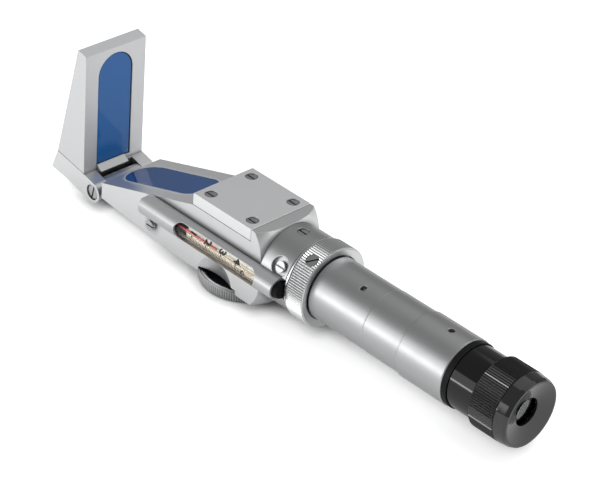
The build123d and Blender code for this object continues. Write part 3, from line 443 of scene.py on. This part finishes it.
def optical_glass():
    return clear_glass("optical_glass", (0.9, 0.93, 0.95, 1), 1.52)


def thermometer_glass():
    return clear_glass("thermometer_glass", WHITE, 1.25)


finishes = {make.__name__: make() for make in (
    satin_aluminium, head_aluminium, lit_plate_aluminium, shaded_cover_aluminium, shaded_stem_aluminium,
    bezel_aluminium, shaded_tube_aluminium, knurled_aluminium, wheel_aluminium, screw_steel,
    spring_bronze, black_anodised, gloss_black, barrel_black, cup_black, black_rubber,
    scale_cream, red_spirit, print_black, blue_glass, prism_glass, optical_glass,
    thermometer_glass)}

# Nodes with a finish of their own. The others take the finish named like their slot.
own_finish = {
    "head_block": "head_aluminium",
    "top_plate": "lit_plate_aluminium",
    "prism_bezel": "bezel_aluminium",
    "measuring_prism": "prism_glass",
    "cover_body": "shaded_cover_aluminium",
    "thermometer_housing": "shaded_stem_aluminium",
    "selector_wheel": "wheel_aluminium",
    "rear_collar": "shaded_tube_aluminium",
    "tube_front": "shaded_tube_aluminium",
    "tube_middle": "shaded_tube_aluminium",
    "tube_rear": "shaded_tube_aluminium",
    "shoulder_ring": "black_anodised",
    "eyepiece_barrel": "barrel_black",
    "eyecup": "cup_black"}

for part in record["subparts"]:
    name = part["node"]
    finish = own_finish.get(name, part["material_slot"])
    for place_in_mesh in nodes[name].material_slots:
        place_in_mesh.material = finishes[finish]


# Pieces of the scene: the thermometer's printed numbers and ticks, on the front of the glass
glass_low, glass_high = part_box("thermometer_glass")
stem_y = (glass_low.y + glass_high.y) / 2
stem_radius = (glass_high.y - glass_low.y) / 2
print_lift = 0.02 * MM
print_thickness = 0.03 * MM
first_number_x = -69.55 * MM
ten_degrees = 8.07 * MM
numbers = 4
number_angle = radians(46)
number_height = 4.5 * MM
number_boldness = 0.035
unit_x = first_number_x + 3.5 * ten_degrees
unit_angle = radians(4)
unit_height = 0.6 * number_height
first_degree = -5
last_degree = 35
tick_low_angle = radians(-6)
tick_high_angle = radians(14)
long_tick_high_angle = radians(30)
tick_width = 0.26 * MM
long_tick_width = 1.5 * tick_width
band_steps = 6


def on_stem(x, angle, lift=0.0):
    """A point on the glass stem. The angle is 0 at the side and grows towards the top."""
    reach = stem_radius + print_lift + lift
    return Vector((x, stem_y - reach * cos(angle), reach * sin(angle)))


def stem_band(bm, x, width, low, high):
    """One thin printed line round part of the stem."""
    corners = ((-1, 0), (1, 0), (1, print_thickness), (-1, print_thickness))
    rows = []
    for i in range(band_steps + 1):
        angle = low + (high - low) * i / band_steps
        rows.append([bm.verts.new(on_stem(x + side * width / 2, angle, lift))
                     for side, lift in corners])
    for before, after in zip(rows, rows[1:]):
        for i in range(4):
            bm.faces.new((before[i], before[(i + 1) % 4], after[(i + 1) % 4], after[i]))
    bm.faces.new(rows[0][::-1])
    bm.faces.new(rows[-1])


def to_mesh(name, bm):
    bmesh.ops.recalc_face_normals(bm, faces=bm.faces)
    mesh = bpy.data.meshes.new(name)
    bm.to_mesh(mesh)
    bm.free()
    return mesh


def stem_print(name, mesh):
    """A printed mark, which rides on the head with the thermometer."""
    made = bpy.data.objects.new(name, mesh)
    scene.collection.objects.link(made)
    mesh.materials.clear()
    mesh.materials.append(finishes["print_black"])
    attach(made, "head")


def degree_ticks():
    """A tick for each degree, counted from the first number, and a longer one at each number."""
    bm = bmesh.new()
    for degree in range(first_degree, last_degree + 1):
        x = first_number_x + degree * ten_degrees / 10
        if degree % 10 == 0:
            stem_band(bm, x, long_tick_width, tick_low_angle, long_tick_high_angle)
        else:
            stem_band(bm, x, tick_width, tick_low_angle, tick_high_angle)
    stem_print("degree_ticks", to_mesh("degree_ticks", bm))


def stem_text(name, words, x, angle, height):
    """Printed characters, upright when the stem stands with its bulb down."""
    words_curve = bpy.data.curves.new(name, "FONT")
    words_curve.body = words
    words_curve.size = height
    words_curve.align_x = "CENTER"
    words_curve.align_y = "CENTER"
    words_curve.offset = number_boldness * height
    words_curve.extrude = print_thickness / 2
    flat = bpy.data.objects.new(name, words_curve)
    scene.collection.objects.link(flat)
    bpy.context.view_layer.update()
    depsgraph = bpy.context.evaluated_depsgraph_get()
    mesh = bpy.data.meshes.new_from_object(flat.evaluated_get(depsgraph))
    bpy.data.objects.remove(flat)
    for vertex in mesh.vertices:
        across, up, out = vertex.co
        vertex.co = on_stem(x + up, angle - across / stem_radius, out + print_thickness / 2)
    stem_print(name, mesh)


degree_ticks()
for i in range(numbers):
    stem_text(f"number_{i + 1}", str(i + 1), first_number_x + i * ten_degrees, number_angle,
              number_height)
stem_text("unit_mark", "C", unit_x, unit_angle, unit_height)


# Studio: floor, surroundings, lamps and camera
floor_z = cad_box[0].z
floor_half = 3.0
floor_glow = 0.5
mirrored_glow = 0.05
contact_reach = 5.5 * MM
contact_strength = 1.0
shade_reach = 30 * MM
shade_start = 0.4
shade_strength = 4.5
sky_brightness = 0.9
ceiling_brightness = 0.3
key_bearing = -120.0
key_distance = 0.75
camera_place = Vector((0.45681, -0.5128, 0.47055))
camera_aim = Vector((-0.03229, 0, 0.009765))
camera_roll = 4.815
camera_lens = 138.05


def shown_rays(tree):
    """1 for the rays that show a backdrop: straight or through glass, and mirrored."""
    path = place(tree, "LightPath").outputs
    direct = calc(tree, "MAXIMUM", path["Is Camera Ray"], path["Is Transmission Ray"])
    return direct, path["Is Glossy Ray"]


def painted_floor_shadow(tree):
    """Painted shadow: masks the floor near the object by occlusion, close to it, and more widely
    on its near side, as from a lamp there.
    """
    close = use(tree, crevice_dirt, reach=contact_reach, strength=contact_strength)["Mask"]
    near_side = place(tree, "CombineXYZ", {"Y": -1.0, "Z": 1.0}).outputs[0]
    shade = place(tree, "AmbientOcclusion", {"Distance": shade_reach, "Normal": near_side},
                  samples=16)
    blocked = calc(tree, "SUBTRACT", 1.0 - shade_start, shade.outputs["AO"])
    wide = calc(tree, "MULTIPLY", blocked, shade_strength, clamp=True)
    return calc(tree, "MAXIMUM", close, wide)


def white_floor():
    """A pale floor, whose colour and glow darken under a painted shadow near the object. Seen
    from below it is clear.
    """
    floor_colour = (0.86, 0.86, 0.86, 1)
    shadow_colour = (0.3, 0.3, 0.3, 1)
    material, tree, shader, surface = new_material("white_floor")
    shadow = painted_floor_shadow(tree)
    join(tree, blend_colour(tree, shadow, floor_colour, shadow_colour), shader["Base Color"])
    shader["Roughness"].default_value = 0.7
    shader["Specular IOR Level"].default_value = 0.1
    shader["Emission Color"].default_value = WHITE
    seen, mirrored = shown_rays(tree)
    glow = calc(tree, "ADD", calc(tree, "MULTIPLY", seen, floor_glow),
                calc(tree, "MULTIPLY", mirrored, mirrored_glow))
    join(tree, calc(tree, "MULTIPLY", glow, calc(tree, "SUBTRACT", 1.0, shadow)),
         shader["Emission Strength"])
    clear_where(tree, place(tree, "NewGeometry").outputs["Backfacing"], surface)
    return material


def studio_floor():
    bm = bmesh.new()
    corners = ((-1, -1), (1, -1), (1, 1), (-1, 1))
    bm.faces.new([bm.verts.new((x * floor_half, y * floor_half, floor_z)) for x, y in corners])
    mesh = to_mesh("floor", bm)
    mesh.materials.append(white_floor())
    floor = bpy.data.objects.new("floor", mesh)
    scene.collection.objects.link(floor)


def studio_surroundings():
    """A white surrounding, which metal mirrors as a dimmer ceiling."""
    world = bpy.data.worlds.new("studio")
    scene.world = world
    world.use_nodes = True
    tree = world.node_tree
    tree.nodes.clear()
    seen, mirrored = shown_rays(tree)
    sky = calc(tree, "MULTIPLY_ADD", mirrored, ceiling_brightness - sky_brightness,
               sky_brightness)
    strength = calc(tree, "MAXIMUM", seen, sky)
    light = place(tree, "Background", {"Color": WHITE, "Strength": strength})
    place(tree, "OutputWorld", {"Surface": light.outputs[0]})


def softbox(name, bearing, height, distance, size, brightness):
    """A rectangular lamp that looks at the origin, which sees it at this bearing and height."""
    lamp = bpy.data.lights.new(name, "AREA")
    lamp.shape = "RECTANGLE"
    lamp.size, lamp.size_y = size
    lamp.energy = brightness * pi * size[0] * size[1]
    made = bpy.data.objects.new(name, lamp)
    scene.collection.objects.link(made)
    level = cos(radians(height)) * distance
    made.location = (level * cos(radians(bearing)), level * sin(radians(bearing)),
                     distance * sin(radians(height)))
    made.rotation_mode = "QUATERNION"
    made.rotation_quaternion = (-made.location).to_track_quat("-Z", "Y")


def photo_camera():
    lens = bpy.data.cameras.new("photo_camera")
    lens.lens = camera_lens
    camera = bpy.data.objects.new("photo_camera", lens)
    scene.collection.objects.link(camera)
    camera.location = camera_place
    camera.rotation_mode = "QUATERNION"
    camera.rotation_quaternion = ((camera_aim - camera_place).to_track_quat("-Z", "Y")
                                  @ Quaternion((0, 0, 1), radians(camera_roll)))
    scene.camera = camera


studio_floor()
studio_surroundings()
softbox("key_softbox", key_bearing, height=16.0, distance=key_distance, size=(0.5, 0.35),
        brightness=1.5)
softbox("strip_lamp", key_bearing, height=1.5, distance=key_distance, size=(0.3, 0.06),
        brightness=9.5)
softbox("top_softbox", bearing=100.0, height=70.0, distance=1.4, size=(1.2, 1.2),
        brightness=0.5)
softbox("rear_softbox", bearing=28.0, height=9.0, distance=1.0, size=(0.8, 0.4),
        brightness=1.8)
photo_camera()
scene.view_settings.view_transform = "Standard"
